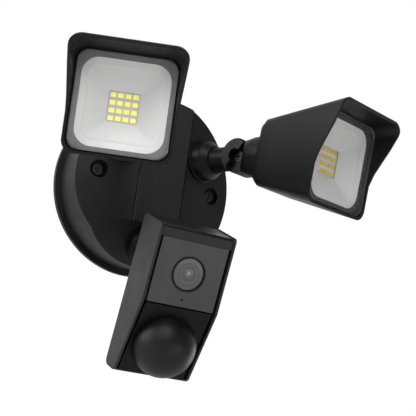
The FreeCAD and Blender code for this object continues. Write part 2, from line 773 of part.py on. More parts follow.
def reflector(arm):
    """The white tray that funnels down to the light's emitters."""
    name = f"{arm}_reflector"
    front = "glass_thick + 1"
    floor = "reflector_depth"
    wall = "reflector_wall"
    corner = size("reflector_corner")
    flange = square_slab(f"{name}_flange", f"{front} + {wall}", front, "glass_half - 1.2",
                         size("lamp_corner") - 3)
    funnel = square_horn(f"{name}_funnel", floor, f"throat_half + {wall} + 1", front,
                         f"reflector_half + {wall}", 8.0)
    hollow = square_slab(f"{name}_hollow", f"{front} + 1.4", f"{front} - 0.01", "reflector_half", corner)
    taper = square_horn(f"{name}_taper", f"{floor} + 0.01", "throat_half", f"{front} + 1.2",
                        "reflector_half - 4.6", 3.5)
    whole = joined(f"{name}_whole", [flange, funnel])
    return finish(f"{arm}_reflector", cut(name, whole, [hollow, taper]), lamp_frame(arm))


def led_parts(arm):
    """The emitters' board and its four by four chips."""
    name = f"{arm}_led"
    face = "reflector_depth + led_thick"
    board = box(f"{name}_board", ("-board_half", "board_half"), (face, f"{face} + board_thick"),
                ("-board_half", "board_half"))
    finish(f"{arm}_led_board", board, placed(board, lamp_frame(arm)))
    chips = []
    for column in range(4):
        for level in range(4):
            across = f"({column} - 1.5) * led_pitch_across"
            up = f"({level} - 1.5) * led_pitch_up"
            chips.append(box(f"{name}_chip_{column}_{level}",
                             (f"{across} - led_across / 2", f"{across} + led_across / 2"),
                             ("reflector_depth + 0.05", face),
                             (f"{up} - led_up / 2", f"{up} + led_up / 2")))
    finish(f"{arm}_led_chips", group(f"{name}_chips", chips), lamp_frame(arm))


def placed(item, where):
    """A box's own placement carried into a frame."""
    document.recompute()
    local = item.Placement
    for axis in "xyz":
        item.setExpression(f"Placement.Base.{axis}", None)
    return where.multiply(local)


def heat_sink(arm):
    name = f"{arm}_sink"
    face = "reflector_depth + led_thick + board_thick"
    plate = box(f"{name}_plate", ("-21", "21"), (face, f"{face} + 3"), ("-21", "21"))
    fins = [plate]
    for fin in range(int(size("fin_count"))):
        middle = f"({fin} - (fin_count - 1) / 2) * fin_pitch"
        fins.append(box(f"{name}_fin_{fin}", (f"{middle} - fin_thick / 2", f"{middle} + fin_thick / 2"),
                        (f"{face} + 3", f"{face} + 3 + fin_depth"), ("-19", "19")))
    return finish(f"{arm}_heat_sink", joined(name, fins), lamp_frame(arm))


# ---- camera head -----------------------------------------------------------------------------

HEAD_SIDE = [
    ("-cover_proud", "head_top - 0.6"),
    ("head_back - 1", "head_top + 1.6"),
    ("head_back + 0.6", "-head_bottom"),
    ("chin_back - cover_proud", "-head_bottom"),
    ("-cover_proud", "-panel_height - 0.4"),
]


def side_cover(side):
    """One of the head's two side covers."""
    name = f"camera_{side}_cover"
    body = new_body(name)
    start = "head_half - cover_thick" if side == "right" else "-head_half"
    pad(body, outline(body, "YZ_Plane", HEAD_SIDE, start), "cover_thick")

    def is_corner(edge):
        """A straight edge through the cover's thickness."""
        return abs(edge.Length - size("cover_thick")) < 0.01

    rounded(body, 3.2, lambda edge: is_corner(edge) and middle_of(edge).z > -90)
    rounded(body, 5.0, lambda edge: is_corner(edge) and middle_of(edge).z < -90)
    rounded(body, 0.9, lambda edge: abs(edge.Vertexes[0].X - edge.Vertexes[-1].X) < 0.01)
    return finish(name, body, head_frame())


def inset_side(gap):
    """The head's side outline, drawn in by a gap."""
    return [
        (f"{gap} - 0.4", f"head_top - 1 - {gap}"),
        (f"head_back - 1 - {gap}", f"head_top + 1.2 - {gap}"),
        (f"head_back + 0.6 - {gap}", f"-head_bottom + {gap}"),
        (f"chin_back + {gap} * 0.6", f"-head_bottom + {gap}"),
        (f"{gap} * 0.9", "-panel_height"),
    ]


def camera_shell():
    """The head's back, top and bottom in one piece, between the covers."""
    width = "2 * (head_half - cover_thick) - 0.2"
    outer = new_body("head_outer")
    pad(outer, outline(outer, "YZ_Plane", inset_side("0.4")), width, middle=True)
    across = worked_out(width)
    rounded(outer, 2.4, lambda edge: abs(edge.Length - across) < 0.01 and middle_of(edge).z > -3)
    inner = new_body("head_inner")
    room = [
        ("panel_thick + 0.2", "-0.8"),
        ("panel_thick + 1.6", "head_top - 4"),
        ("head_back - 3.4", "head_top - 3"),
        ("head_back - 2", "-head_bottom + 2.6"),
        ("chin_back + 2.4", "-head_bottom + 2.6"),
        ("panel_thick + 0.4", "-panel_height - 0.6")]
    pad(inner, outline(inner, "YZ_Plane", room), "2 * head_half + 4", middle=True)
    front = new_body("head_front")
    opening = [
        ("-5", "0.2"),
        ("panel_thick + 1", "0.2"),
        ("panel_thick + 1.2", "-panel_height - 0.6"),
        ("chin_back + 3.2", "-chin_drop - 0.2"),
        ("chin_back - 5", "-chin_drop - 0.2"),
        ("-5", "-panel_height")]
    pad(front, outline(front, "YZ_Plane", opening), "2 * head_half + 4", middle=True)
    button = cylinder("button_way", "z", "button_radius + 0.3",
                      ("-head_bottom - 2", "-head_bottom + 5"), ("0", "button_depth"))
    return finish("camera_shell", cut("camera_shell", outer, [inner, front, button]), head_frame())


def front_panel():
    """The head's upper face, with the lens's hole and the microphone's."""
    plate = box("panel_plate", ("-panel_half", "panel_half"), ("0", "panel_thick"), ("-panel_height", "0"))
    eye = cylinder("panel_eye", "y", "lens_ring + 0.1", ("-1", "panel_thick + 1"), ("0", "-lens_drop"))
    ear = cylinder("panel_microphone", "y", "0.8", ("-1", "panel_thick + 1"), ("0", "-lens_drop - 18.5"))
    return finish("camera_front_panel", cut("camera_front_panel", plate, [eye, ear]), head_frame())


def chin_frame():
    """The lower face's frame: its origin is the panel's bend and -Z runs down the face."""
    lean = math.degrees(math.atan2(size("chin_back"), size("chin_drop") - size("panel_height")))
    return head_frame().multiply(tilted(0, 0, -size("panel_height"), 0, lean))


def chin_length():
    return math.hypot(size("chin_back"), size("chin_drop") - size("panel_height"))


def dome_down():
    """How far down the lower face the sensor's dome is."""
    share = (size("dome_drop") - size("panel_height")) / (size("chin_drop") - size("panel_height"))
    return share * chin_length()


def chin_parts():
    """The lower panel with the movement sensor's dome, collar and sensor."""
    radius = size("dome_radius")
    thick = size("panel_thick")
    down = dome_down()
    centre = Vector(0, 0, -down)
    ahead = Vector(0, -1, 0)
    inward = Vector(0, 1, 0)
    plate = Part.makeBox(2 * size("panel_half"), thick, chin_length() - size("bend_gap"),
                         Vector(-size("panel_half"), 0, -chin_length()))
    hole = Part.makeCylinder(radius - 0.6, thick + 2, centre + Vector(0, -1, 0), inward)
    shapes = {"camera_lower_panel": plate.cut(hole)}
    ring = Part.makeCylinder(radius + 1.0, 1.0, centre, ahead)
    ring = ring.cut(Part.makeCylinder(radius + 0.1, 1.0, centre, ahead))
    shapes["pir_collar"] = ring
    ball = Part.makeSphere(radius, centre, ahead, 0, 90, 360)
    hollow = Part.makeSphere(radius - size("dome_wall"), centre, ahead, 0, 90, 360)
    skirt = Part.makeCylinder(radius - 0.9, thick, centre, inward)
    skirt = skirt.cut(Part.makeCylinder(radius - size("dome_wall"), thick, centre, inward))
    shapes["pir_dome"] = ball.cut(hollow).fuse(skirt).removeSplitter()
    can = Part.makeCylinder(4.6, 4.2, centre + Vector(0, thick + 1, 0), ahead)
    disc = Part.makeCylinder(11, 1.2, centre + Vector(0, thick + 1, 0), inward)
    shapes["pir_sensor"] = can.fuse(disc)
    for label, shape in shapes.items():
        item = document.addObject("Part::Feature", label)
        item.Shape = shape
        finish(label, item, chin_frame())


def lens_parts():
    """The lens's ring, its window and the barrel behind."""
    at = ("0", "-lens_drop")
    ring = cylinder("lens_ring_disc", "y", "lens_ring", ("-0.9", "panel_thick + 1.4"), at)
    hole = cylinder("lens_ring_hole", "y", "lens_glass", ("-2", "panel_thick + 3"), at)
    finish("lens_ring", cut("lens_ring", ring, [hole]), head_frame())
    window = cylinder("lens_window_disc", "y", "lens_glass - 0.05", ("0", "1.6"), at)
    bead = cylinder("lens_bead", "y", "lens_glass - 1", ("0.4", "2"), at)
    finish("lens_window", joined("lens_window", [window, bead]), head_frame())
    tube = cylinder("barrel_tube", "y", "lens_barrel", ("2.2", "14"), at)
    thread = cylinder("barrel_thread", "y", "lens_barrel - 1.4", ("14", "19"), at)
    sink = document.addObject("Part::Cone", "barrel_sink")
    sink.Radius1 = 6.8
    sink.Radius2 = 3.6
    sink.Height = 4.5
    sink.Placement = Placement(Vector(0, 2.1, -size("lens_drop")), Rotation(Vector(1, 0, 0), -90))
    finish("lens_barrel", cut("lens_barrel", joined("barrel_blank", [tube, thread]), [sink]), head_frame())


def electronics():
    """The image sensor's board, the main board and the speaker."""
    plate = box("sensor_plate", ("-14", "14"), ("19.1", "20.5"), ("-lens_drop - 12", "-lens_drop + 12"))
    holder = box("sensor_socket", ("-5", "5"), ("20.5", "22"), ("-lens_drop - 5", "-lens_drop + 5"))
    fixing = cylinder("sensor_hole", "y", "1", ("18", "23"), ("11", "-lens_drop"))
    sensor = cut("image_sensor_board", joined("sensor_blank", [plate, holder]), [fixing])
    finish("image_sensor_board", sensor, head_frame())
    finish("main_board", joined("main_board", [
        box("main_plate", ("-23", "23"), ("27", "28.6"), ("-92", "-4")),
        box("main_chip", ("-7", "7"), ("25.4", "27"), ("-62", "-48")),
        box("main_shield", ("-16", "16"), ("24.6", "27"), ("-84", "-68"))]), head_frame())
    at = ("13", "-49")
    finish("speaker", joined("speaker", [
        cylinder("speaker_basket", "y", "9", ("6.4", "9"), at),
        cylinder("speaker_magnet", "y", "6", ("9", "14"), at)]), head_frame())


def reset_button():
    """The button in the head's underside, held by its flange."""
    at = ("0", "button_depth")
    cap = cylinder("button_cap", "z", "button_radius", ("-head_bottom - 0.2", "-head_bottom + 3.2"), at)
    flange = cylinder("button_flange", "z", "button_radius + 1",
                      ("-head_bottom + 3.2", "-head_bottom + 4.2"), at)
    return finish("reset_button", joined("reset_button", [cap, flange]), head_frame())


def camera_knuckle():
    """The bracket on the head's back that carries its half of the hinge."""
    place = head_frame()
    hinge = place.inverse().multVec(pivot_of("camera"))
    level = f"({hinge.z})"
    pivot = f"({hinge.y})"
    flange = cylinder("camera_flange", "y", "15", ("head_back + 0.6", "head_back + 3.2"), ("0", level))
    neck = cylinder("camera_neck", "y", "lug_radius - 1.6", ("head_back + 3.2", f"{pivot} - 3"), ("0", level))
    lug, relief, bore = knuckle_lug("camera_knuckle", "0", pivot, level)
    whole = joined("camera_knuckle_whole", [flange, neck, lug])
    return finish("camera_knuckle", cut("camera_knuckle", whole, [relief, bore]), place)


# ---- assembly --------------------------------------------------------------------------------

def check_and_write():
    """Checks every object, then writes each sub-part."""
    document.recompute()
    for item in document.Objects:
        if {"Invalid", "Error"} & set(item.State):
            raise RuntimeError(f"{item.Name} did not build: {item.State}")
    os.makedirs("parts", exist_ok=True)
    for item in NODES:
        shape = item.Shape
        if shape.isNull() or not shape.isValid() or not shape.Solids:
            raise RuntimeError(f"{item.Label} is not a sound solid")
        print(f"{item.Label}: {len(shape.Solids)} solid(s), {shape.Volume / 1000:.2f} cm3")
    for item in NODES:
        item.Shape.exportStep(f"parts/{item.Label}.step")


wall_parts()
wall_bracket()
base_housing()
centre_panel()
base_screws()
driver()
cable_grommet()
socket_seals()
for arm_name in ARMS:
    socket(arm_name)
    arm_stub(arm_name)
    locknut(arm_name)
    pivot_screw(arm_name)
for lamp_name in ("left", "right"):
    lamp_knuckle(lamp_name)
    lamp_housing(lamp_name)
    lens_frame(lamp_name)
    lamp_glass(lamp_name)
    glass_gasket(lamp_name)
    reflector(lamp_name)
    led_parts(lamp_name)
    heat_sink(lamp_name)
for cover in ("left", "right"):
    side_cover(cover)
camera_shell()
front_panel()
chin_parts()
lens_parts()
electronics()
reset_button()
camera_knuckle()
check_and_write()
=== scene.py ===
"""Looks of the floodlight security camera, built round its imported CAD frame."""

import json
import math

import bmesh
import bpy
from mathutils import Matrix, Vector


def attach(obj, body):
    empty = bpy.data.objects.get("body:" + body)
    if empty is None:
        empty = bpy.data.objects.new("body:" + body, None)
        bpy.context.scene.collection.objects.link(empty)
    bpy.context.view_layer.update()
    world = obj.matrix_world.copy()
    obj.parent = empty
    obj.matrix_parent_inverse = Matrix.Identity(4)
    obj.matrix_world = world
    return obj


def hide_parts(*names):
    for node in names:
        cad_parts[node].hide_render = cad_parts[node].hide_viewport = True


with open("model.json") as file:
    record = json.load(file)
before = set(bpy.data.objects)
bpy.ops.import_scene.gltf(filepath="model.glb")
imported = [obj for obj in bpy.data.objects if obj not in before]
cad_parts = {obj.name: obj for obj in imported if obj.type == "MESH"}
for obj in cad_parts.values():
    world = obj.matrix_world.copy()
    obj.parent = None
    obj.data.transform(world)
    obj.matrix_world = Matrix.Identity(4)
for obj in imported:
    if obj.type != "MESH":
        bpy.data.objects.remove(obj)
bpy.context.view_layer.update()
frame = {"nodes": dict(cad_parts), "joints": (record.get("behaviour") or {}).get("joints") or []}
MM = 0.001
JOINTS = {joint["name"]: joint for joint in frame["joints"]}
LAMPS = ("left", "right")


# ---- places, worked out from the frame's joints ------------------------------------------------

LAMP_NOD = {"left": math.radians(8.1), "right": math.radians(6.5)}
LAMP_OFFSET = {"left": -2.0 * MM, "right": 2.0 * MM}
LAMP_PIVOT = 94.34 * MM
HEAD_PITCH = math.radians(16.7)
HEAD_ORIGIN = Vector((0.0, -131.98, -57.31)) * MM


def arm_frame(arm):
    """An arm's frame: its origin is on the canopy's skin, and -Y is along the arm."""
    swivel = JOINTS[f"{arm}_swivel"]
    across = Vector(JOINTS[f"{arm}_tilt"]["axis"]).normalized()
    back = -Vector(swivel["axis"]).normalized()
    turn = Matrix((across, back, across.cross(back))).transposed()
    return Matrix.Translation(Vector(swivel["pos_m"])) @ turn.to_4x4()


def lamp_frame(arm):
    """A lamp's frame: its origin is the middle of the glass's face, and -Y is forward."""
    turned = arm_frame(arm) @ Matrix.Rotation(LAMP_NOD[arm], 4, "X")
    turned.translation = Vector(JOINTS[f"{arm}_tilt"]["pos_m"])
    return turned @ Matrix.Translation((-LAMP_OFFSET[arm], -LAMP_PIVOT, 0))


def head_frame():
    """The camera head's frame: its origin is the top of the front panel's face."""
    return Matrix.Translation(HEAD_ORIGIN) @ Matrix.Rotation(HEAD_PITCH, 4, "X")


# ---- camera, lights and floor ------------------------------------------------------------------

def make_camera():
    azimuth, elevation, roll = math.radians(25.64), math.radians(-12.58), math.radians(7.8)
    target = Vector((68.1, 0, 1.8)) * MM
    distance = 921.2 * MM
    back = Vector((-math.sin(azimuth) * math.cos(elevation),
                   -math.cos(azimuth) * math.cos(elevation), math.sin(elevation)))
    level = Vector((math.cos(azimuth), -math.sin(azimuth), 0))
    upright = back.cross(level)
    right = math.cos(roll) * level + math.sin(roll) * upright
    above = -math.sin(roll) * level + math.cos(roll) * upright
    data = bpy.data.cameras.new("view_camera")
    data.lens = 94.57
    data.sensor_width = 36
    data.clip_start = 0.05
    camera = bpy.data.objects.new("view_camera", data)
    turn = Matrix((right, above, back)).transposed().to_4x4()
    camera.matrix_world = Matrix.Translation(target + back * distance) @ turn
    bpy.context.collection.objects.link(camera)
    bpy.context.scene.camera = camera


def area_light(name, at, towards, size, power):
    data = bpy.data.lights.new(name, "AREA")
    data.shape = "RECTANGLE"
    data.size, data.size_y = size
    data.energy = power
    light = bpy.data.objects.new(name, data)
    aim = (Vector(towards) - Vector(at)).to_track_quat("-Z", "Y")
    light.matrix_world = Matrix.Translation(at) @ aim.to_matrix().to_4x4()
    bpy.context.collection.objects.link(light)


def make_sky():
    """White behind the object, and a softer light from all round it."""
    world = bpy.data.worlds.new("studio")
    world.use_nodes = True
    nodes, links = world.node_tree.nodes, world.node_tree.links
    seen = nodes["Background"]
    seen.inputs["Color"].default_value = (1, 1, 1, 1)
    seen.inputs["Strength"].default_value = 1.0
    around = nodes.new("ShaderNodeBackground")
    around.inputs["Color"].default_value = (1, 1, 1, 1)
    split = nodes.new("ShaderNodeSeparateXYZ")
    links.new(nodes.new("ShaderNodeTexCoord").outputs["Generated"], split.inputs["Vector"])
    fade = nodes.new("ShaderNodeMapRange")
    fade.interpolation_type = "SMOOTHSTEP"
    for socket, value in (("From Min", -0.3), ("From Max", 0.7), ("To Min", 0.30), ("To Max", 0.8)):
        fade.inputs[socket].default_value = value
    links.new(split.outputs["Y"], fade.inputs["Value"])
    links.new(fade.outputs["Result"], around.inputs["Strength"])
    blend = nodes.new("ShaderNodeMixShader")
    links.new(nodes.new("ShaderNodeLightPath").outputs["Is Camera Ray"], blend.inputs[0])
    links.new(around.outputs["Background"], blend.inputs[1])
    links.new(seen.outputs["Background"], blend.inputs[2])
    links.new(blend.outputs["Shader"], nodes["World Output"].inputs["Surface"])
    bpy.context.scene.world = world
    bpy.context.scene.view_settings.view_transform = "Standard"


def make_studio():
    area_light("key_light", (-0.5, -1.1, 0.9), (0, -0.1, 0), (0.8, 0.7), 12)
    area_light("low_light", (0.5, -1.2, -0.5), (0, -0.1, 0), (1.0, 0.8), 5)
    area_light("left_light", (-1.2, 0.0, 0.4), (-0.06, -0.03, -0.02), (0.45, 0.8), 13)
    area_light("right_light", (1.1, 0.35, -0.4), (0, -0.1, -0.1), (0.5, 0.8), 3)
    make_sky()
    floor_mesh = bpy.data.meshes.new("floor")
    reach, level = 30.0, -0.5
    floor_mesh.from_pydata([(-reach, -reach, level), (reach, -reach, level), (reach, reach, level),
                            (-reach, reach, level)], [], [(0, 1, 2, 3)])
    floor = bpy.data.objects.new("floor", floor_mesh)
    pale = bpy.data.materials.new("floor_paint")
    pale.use_nodes = True
    shader = pale.node_tree.nodes["Principled BSDF"]
    shader.inputs["Base Color"].default_value = (0.93, 0.93, 0.93, 1)
    shader.inputs["Roughness"].default_value = 0.9
    floor_mesh.materials.append(pale)
    bpy.context.collection.objects.link(floor)


# ---- materials ---------------------------------------------------------------------------------

BRUSH = (40.0, 900.0, 900.0)
COOL = (1.0, 1.0, 1.02)


class Paint:
    """A node material with short ways to add the nodes that the finishes here share."""

    def __init__(self, name, roughness=0.5, metallic=0.0, ior=1.5, gloss=0.5):
        self.material = bpy.data.materials.new(name)
        self.material.use_nodes = True
        self.nodes = self.material.node_tree.nodes
        self.links = self.material.node_tree.links
        self.shader = self.nodes["Principled BSDF"]
        self.shader.inputs["Roughness"].default_value = roughness
        self.shader.inputs["Metallic"].default_value = metallic
        self.shader.inputs["IOR"].default_value = ior
        self.shader.inputs["Specular IOR Level"].default_value = gloss
        self.place = self.nodes.new("ShaderNodeTexCoord").outputs["Object"]

    def noise(self, scale, detail=4.0, stretch=None):
        node = self.nodes.new("ShaderNodeTexNoise")
        node.inputs["Scale"].default_value = scale
        node.inputs["Detail"].default_value = detail
        source = self.place
        if stretch is not None:
            mapping = self.nodes.new("ShaderNodeMapping")
            mapping.inputs["Scale"].default_value = stretch
            self.links.new(source, mapping.inputs["Vector"])
            source = mapping.outputs["Vector"]
        self.links.new(source, node.inputs["Vector"])
        return node.outputs["Fac"]

    def cells(self, scale):
        node = self.nodes.new("ShaderNodeTexVoronoi")
        node.inputs["Scale"].default_value = scale
        self.links.new(self.place, node.inputs["Vector"])
        return node.outputs["Distance"]

    def ramp(self, source, stops):
        node = self.nodes.new("ShaderNodeValToRGB")
        node.color_ramp.elements[0].position, node.color_ramp.elements[0].color = stops[0]
        node.color_ramp.elements[1].position, node.color_ramp.elements[1].color = stops[1]
        self.links.new(source, node.inputs["Fac"])
        return node.outputs["Color"]

    def spread(self, source, low, high):
        node = self.nodes.new("ShaderNodeMapRange")
        node.inputs["From Min"].default_value = 0.3
        node.inputs["From Max"].default_value = 0.7
        node.inputs["To Min"].default_value = low
        node.inputs["To Max"].default_value = high
        self.links.new(source, node.inputs["Value"])
        return node.outputs["Result"]

    def colour(self, output):
        self.links.new(output, self.shader.inputs["Base Color"])

    def roughness(self, output):
        self.links.new(output, self.shader.inputs["Roughness"])

    def bump(self, source, height, strength=1.0):
        node = self.nodes.new("ShaderNodeBump")
        node.inputs["Distance"].default_value = height
        node.inputs["Strength"].default_value = strength
        self.links.new(source, node.inputs["Height"])
        if self.shader.inputs["Normal"].is_linked:
            self.links.new(self.shader.inputs["Normal"].links[0].from_socket, node.inputs["Normal"])
        self.links.new(node.outputs["Normal"], self.shader.inputs["Normal"])

    def set(self, socket, value):
        self.shader.inputs[socket].default_value = value


def grey(value, tint=(1.0, 1.0, 1.0)):
    return tuple(value * part for part in tint) + (1.0,)


def moulded(name, shade, roughness, grain=1500.0, depth=0.05, gloss=0.22):
    """Moulded plastic: a spark-eroded grain, faint cloudiness and slightly uneven gloss."""
    paint = Paint(name, roughness, gloss=gloss)
    cloud = paint.noise(28.0, 5.0)
    paint.colour(paint.ramp(cloud, ((0.3, grey(shade * 0.86, COOL)), (0.7, grey(shade * 1.14, COOL)))))
    paint.roughness(paint.spread(paint.noise(90.0, 6.0), roughness - 0.05, roughness + 0.05))
    paint.bump(paint.noise(grain, 3.0), depth * MM, 0.6)
    paint.bump(paint.noise(6.0, 1.0), 0.25 * MM, 0.3)
    return paint.material


def glossy(name, shade, roughness, tint=(1.0, 1.0, 1.0), coat=0.0, gloss=0.4):
    """Polished plastic, with a trace of waviness and of fingerprints."""
    paint = Paint(name, roughness, gloss=gloss)
    smudge = paint.noise(16.0, 3.0)
    paint.colour(paint.ramp(smudge, ((0.3, grey(shade * 0.92, tint)), (0.7, grey(shade * 1.08, tint)))))
    paint.roughness(paint.spread(paint.noise(40.0, 7.0), roughness * 0.8, roughness * 1.3 + 0.01))
    paint.bump(paint.noise(9.0, 1.0), 0.08 * MM, 0.4)
    if coat:
        paint.set("Coat Weight", coat)
        paint.set("Coat Roughness", 0.04)
    return paint.material


def metal(name, shade, roughness):
    """Bare metal, brushed along one direction."""
    paint = Paint(name, roughness, metallic=1.0)
    grain = paint.noise(1.0, 5.0, BRUSH)
    paint.colour(paint.ramp(grain, ((0.25, grey(shade * 0.88)), (0.75, grey(shade * 1.05)))))
    paint.roughness(paint.spread(grain, roughness * 0.75, roughness * 1.3))
    paint.bump(grain, 0.02 * MM, 0.5)
    return paint.material


def clear_glass(name):
    """A clear pane: almost all of it lets light through, and the rest is a faint gloss and an even grey,
    a painted reflection veil.
    """
    paint = Paint(name, 0.04, gloss=0.5)
    # painted reflection: the grey colour, seen through the low alpha, lays an even haze over the lamp's
    # inside
    paint.colour(paint.ramp(paint.noise(12.0), ((0.3, grey(0.42)), (0.7, grey(0.48)))))
    paint.roughness(paint.spread(paint.noise(60.0, 6.0), 0.03, 0.07))
    paint.set("Alpha", 0.07)
    return paint.material


def phosphor(name, deep, pale, painted_glow):
    """The emitters' yellow phosphor under clear resin, with a painted glow: the emitters are not lit."""
    paint = Paint(name, 0.25)
    tone = paint.noise(900.0, 3.0)
    paint.colour(paint.ramp(tone, ((0.3, deep + (1,)), (0.7, pale + (1,)))))
    paint.bump(tone, 0.03 * MM, 0.5)
    # painted glow: emission that stands for light falling on the phosphor
    paint.set("Emission Color", pale + (1,))
    paint.set("Emission Strength", painted_glow)
    paint.set("Coat Weight", 0.4)
    return paint.material


def circuit_board(name):
    """Green solder mask over copper, with a faint pattern of tracks."""
    paint = Paint(name, 0.35)
    tracks = paint.cells(260.0)
    paint.colour(paint.ramp(tracks, ((0.35, (0.01, 0.10, 0.04, 1)), (0.45, (0.02, 0.17, 0.07, 1)))))
    paint.bump(tracks, 0.03 * MM, 0.4)
    return paint.material


FINISHES = {
    "canopy_black": moulded("canopy_black", 0.010, 0.46),
    "arm_black": moulded("arm_black", 0.003, 0.42, gloss=0.16),
    "deep_black": moulded("deep_black", 0.0015, 0.50, gloss=0.08),
    "lamp_black": moulded("lamp_black", 0.0055, 0.42, gloss=0.2),
    "band_black": moulded("band_black", 0.019, 0.40, grain=2200.0, depth=0.03),
    "cover_gray": moulded("cover_gray", 0.010, 0.40, grain=2000.0, depth=0.03, gloss=0.28),
    "shell_gray": moulded("shell_gray", 0.008, 0.36, grain=2000.0, depth=0.03, gloss=0.22),
    "panel_gray": moulded("panel_gray", 0.034, 0.34, grain=3200.0, depth=0.012, gloss=0.3),
    "chin_black": moulded("chin_black", 0.004, 0.30, grain=3200.0, depth=0.012, gloss=0.12),
    # painted highlight: the right bezel is a paler copy of the left, for the light that its lip's inner
    # wall catches
    "left_bezel": glossy("left_bezel", 0.005, 0.30, coat=0.3),
    "right_bezel": glossy("right_bezel", 0.045, 0.30, coat=0.3),
    "dome_black": glossy("dome_black", 0.003, 0.42, gloss=0.25),
    # painted reflection: the left border is grey for the reflection on the left glass; the right one
    # keeps the border's black
    "left_border": glossy("left_border", 0.15, 0.42),
    "right_border": glossy("right_border", 0.004, 0.42, gloss=0.15),
    "barrel_black": glossy("barrel_black", 0.006, 0.3),
    "lamp_glass": clear_glass("lamp_glass"),
    "lens_face": glossy("lens_face", 0.046, 0.28, coat=0.3),
    "lens_iris": glossy("lens_iris", 0.052, 0.26, tint=(1.0, 1.0, 1.03), coat=0.3),
    # painted reflection: a paler yellowish disc on the lens's glass
    "lens_pupil_reflection": glossy("lens_pupil_reflection", 0.085, 0.20, tint=(1.0, 1.0, 0.80), coat=0.5),
    # painted glint: a small pale yellow spot on the lens
    "lens_glint": glossy("lens_glint", 0.20, 0.24, tint=(1.0, 1.0, 0.62), coat=0.5),
    # painted reflection: the left tray is a lighter copy of the right one, for the reflection veil on
    # the left glass
    "left_tray": glossy("left_tray", 0.69, 0.38),
    "right_tray": glossy("right_tray", 0.58, 0.38),
    # painted light: lit and shaded copies of one phosphor; the left is paler with more painted glow, the
    # right more orange and dimmer
    "left_led": phosphor("left_led", (0.92, 0.86, 0.14), (1.0, 0.96, 0.26), 0.28),
    "right_led": phosphor("right_led", (0.58, 0.38, 0.03), (0.70, 0.50, 0.05), 0.06),
    "led_base": glossy("led_base", 0.60, 0.35, tint=(1.0, 0.97, 0.92)),
    "aluminium": metal("aluminium", 0.78, 0.32),
    "steel": metal("steel", 0.62, 0.28),
    # painted shade: the base screws are darkened to stand for the shade in the deep wells they sit in
    "dark_screw": metal("dark_screw", 0.07, 0.36),
    "black_screw": metal("black_screw", 0.022, 0.42),
    "rubber": moulded("rubber", 0.012, 0.75, grain=900.0, depth=0.06),
    "circuit": circuit_board("circuit"),
    "terminal_white": moulded("terminal_white", 0.6, 0.45),
    "core_gray": metal("core_gray", 0.25, 0.5),
}

NODE_FINISH = {
    "canopy_black": ["back_plate", "base_housing"],
    "arm_black": [f"{arm}_{part}" for arm in LAMPS
                  for part in ("socket", "arm_stub", "locknut", "knuckle")],
    "deep_black": [f"camera_{part}" for part in ("socket", "arm_stub", "locknut", "knuckle")],
    "lamp_black": ["left_lamp_housing", "right_lamp_housing"],
    "band_black": ["centre_panel"],
    "cover_gray": ["camera_left_cover", "camera_right_cover"],
    "shell_gray": ["camera_shell"],
    "panel_gray": ["camera_front_panel"],
    "chin_black": ["camera_lower_panel", "pir_collar", "lens_ring"],
    "left_bezel": ["left_lens_frame"],
    "right_bezel": ["right_lens_frame"],
    "dome_black": ["pir_dome"],
    "left_border": ["left_glass_gasket"],
    "right_border": ["right_glass_gasket"],
    "barrel_black": ["lens_barrel", "speaker"],
    "lamp_glass": ["left_lamp_glass", "right_lamp_glass"],
    "lens_face": ["lens_window"],
    "left_tray": ["left_reflector"],
    "right_tray": ["right_reflector"],
    "left_led": ["left_led_chips"],
    "right_led": ["right_led_chips"],
    "led_base": ["left_led_board", "right_led_board"],
    "aluminium": ["left_heat_sink", "right_heat_sink"],
    "steel": ["wall_bracket"],
    "dark_screw": ["base_screws"],
    "black_screw": ["left_pivot_screw", "right_pivot_screw", "camera_pivot_screw"],
    "rubber": ["wall_gasket", "cable_grommet", "socket_seals", "reset_button"],
    "circuit": ["driver_board", "image_sensor_board", "main_board"],
    "terminal_white": ["terminal_block"],
    "core_gray": ["driver_transformer", "driver_capacitors", "pir_sensor"],
}


def dress_nodes():
    for finish, nodes in NODE_FINISH.items():
        for node in nodes:
            piece = frame["nodes"][node]
            if not piece.material_slots:
                piece.data.materials.append(None)
            for holder in piece.material_slots:
                holder.link = "OBJECT"
                holder.material = FINISHES[finish]


# ---- mesh helpers ------------------------------------------------------------------------------

def add_piece(name, mesh, finish, body, node, where):
    """Links a mesh, placed by a frame, as a piece that stands for a CAD node or for none."""
    mesh.transform(where)
    mesh.materials.append(FINISHES[finish])
    piece = bpy.data.objects.new(name, mesh)
    bpy.context.collection.objects.link(piece)
    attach(piece, body)
    if node is not None:
        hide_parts(node)
    return piece


def shade(mesh, sharp=35.0):
    """Smooth shading, with creases at the corners that are sharper than the given angle."""
    for face in mesh.polygons:
        face.use_smooth = True
    mesh.set_sharp_from_angle(angle=math.radians(sharp))


def round_off(piece, width, segments=3, limit=35.0):
    """Rounds a piece's sharp edges."""
    bevel = piece.modifiers.new("rounding", "BEVEL")
    bevel.width = width
    bevel.segments = segments
    bevel.limit_method = "ANGLE"
    bevel.angle_limit = math.radians(limit)
    bevel.harden_normals = True


def skinned(name, loops, closed=True, cap_first=False, cap_last=False):
    """A mesh skin over rings of points that all have the same number of points."""
    mesh = bpy.data.meshes.new(name)
    count = len(loops[0])
    points = [point for loop in loops for point in loop]
    faces = []
    pairs = list(range(len(loops) - 1)) + ([len(loops) - 1] if closed else [])
    for ring in pairs:
        here, there = ring * count, ((ring + 1) % len(loops)) * count
        for n in range(count):
            following = (n + 1) % count
            faces.append((here + n, here + following, there + following, there + n))
    if cap_first:
        faces.append(tuple(reversed(range(count))))
    if cap_last:
        faces.append(tuple((len(loops) - 1) * count + n for n in range(count)))
    mesh.from_pydata(points, [], faces)
    fix = bmesh.new()
    fix.from_mesh(mesh)
    bmesh.ops.recalc_face_normals(fix, faces=fix.faces)
    fix.to_mesh(mesh)
    fix.free()
    return mesh


